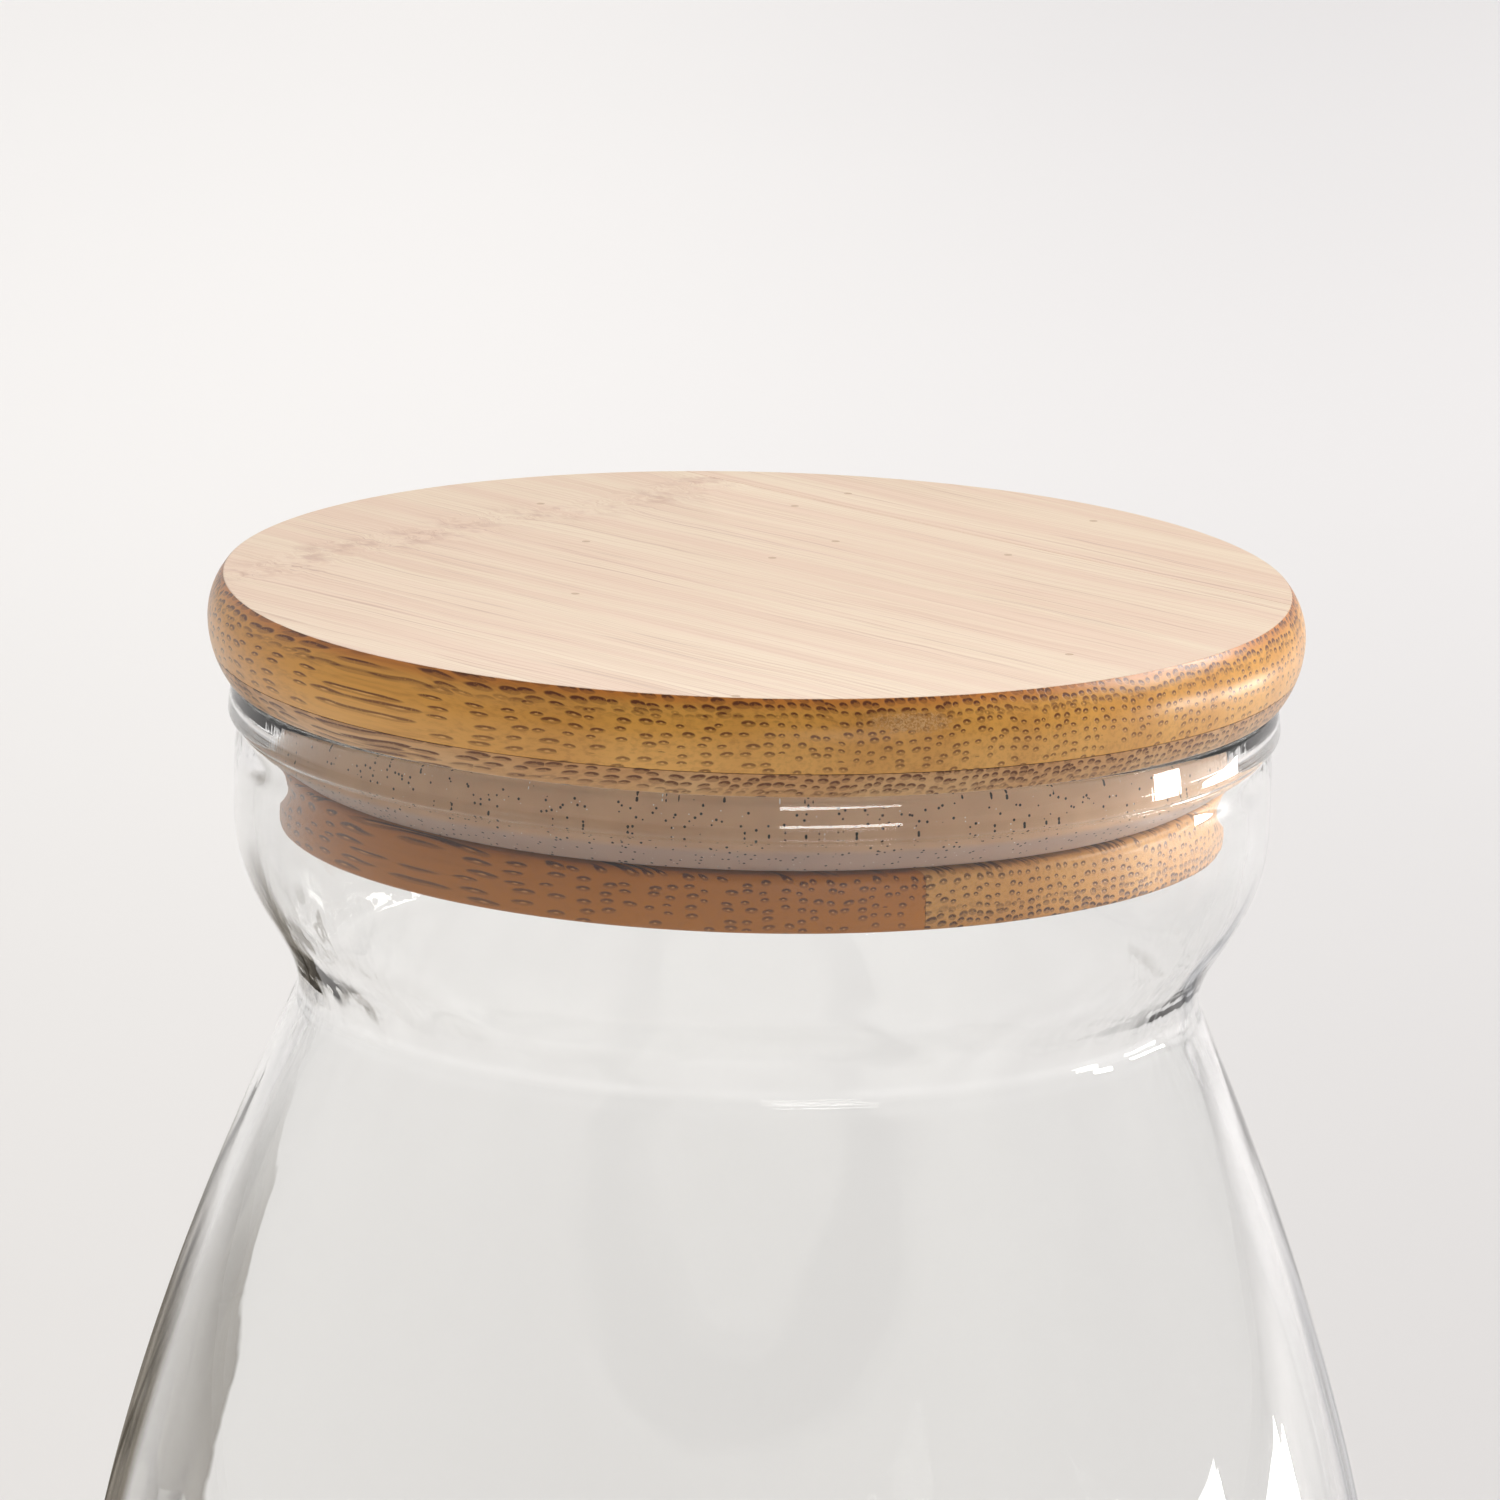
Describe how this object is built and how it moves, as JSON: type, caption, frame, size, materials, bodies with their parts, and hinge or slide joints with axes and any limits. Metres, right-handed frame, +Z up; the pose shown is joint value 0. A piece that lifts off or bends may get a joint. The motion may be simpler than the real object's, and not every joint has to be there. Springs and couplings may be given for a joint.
{
  "type": "lidded glass canister",
  "caption": "Pear-shaped glass storage canister with a drawn-in waist and a push-in bamboo lid with a silicone seal.",
  "frame": {"origin": "centre of the base, on the plane that the jar stands on", "axes": "+Z up along the axis of the jar and its lid; the lid's grain runs 46 degrees from the Y axis, towards -X"},
  "size_m": [0.1308, 0.1308, 0.18],
  "materials": {
    "glass": "clear, smooth blown glass",
    "silicone": "translucent grey silicone, satin",
    "bamboo": "laminated bamboo, thin satin varnish, sanded matte top face"
  },
  "bodies": {
    "jar": {"glass_jar": "glass"},
    "seal": {"silicone_seal": "silicone"},
    "lid": {"lid_top_strip_left": "bamboo", "lid_top_strip_right": "bamboo", "lid_core_strip_left": "bamboo", "lid_core_strip_right": "bamboo", "lid_plug_strip_left": "bamboo", "lid_plug_strip_right": "bamboo"}
  },
  "joints": [
    {"name": "lid_lift", "type": "slide", "parent": "jar", "child": "seal", "axis": [0, 0, 1], "range_m": [0, 0.06]},
    {"name": "lid_turn", "type": "hinge", "parent": "seal", "child": "lid", "pos_m": [0, 0, 0.17], "axis": [0, 0, 1], "continuous": true}
  ]
}
